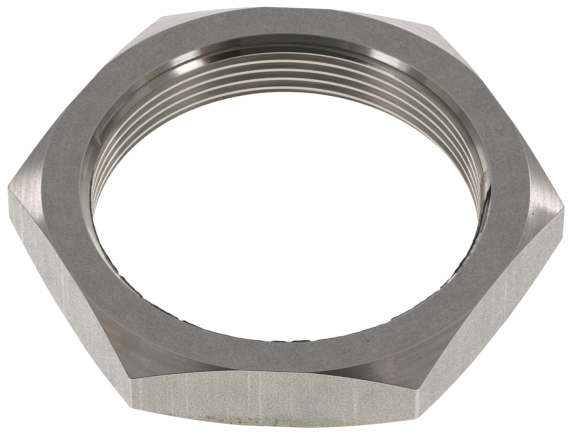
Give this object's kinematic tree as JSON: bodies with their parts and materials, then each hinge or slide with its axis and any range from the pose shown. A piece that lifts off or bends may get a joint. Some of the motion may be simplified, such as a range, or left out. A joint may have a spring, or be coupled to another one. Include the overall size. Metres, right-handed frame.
{
  "type": "lock nut",
  "caption": "Thin hexagonal lock nut in stainless steel, with turned faces, chamfered corners and a fine internal thread opened by a countersink at each face.",
  "frame": {"origin": "middle of the lower face, on the thread's axis", "axes": "+Z along the thread's axis, from the lower face to the upper face; +X through one corner of the hexagon"},
  "size_m": [0.0414, 0.036, 0.0064],
  "materials": {
    "stainless_steel": "turned faces and chamfers with a fine satin grain, and drawn flats with a light speckle"
  },
  "bodies": {
    "root": {"lock_nut": "stainless_steel"}
  },
  "joints": []
}
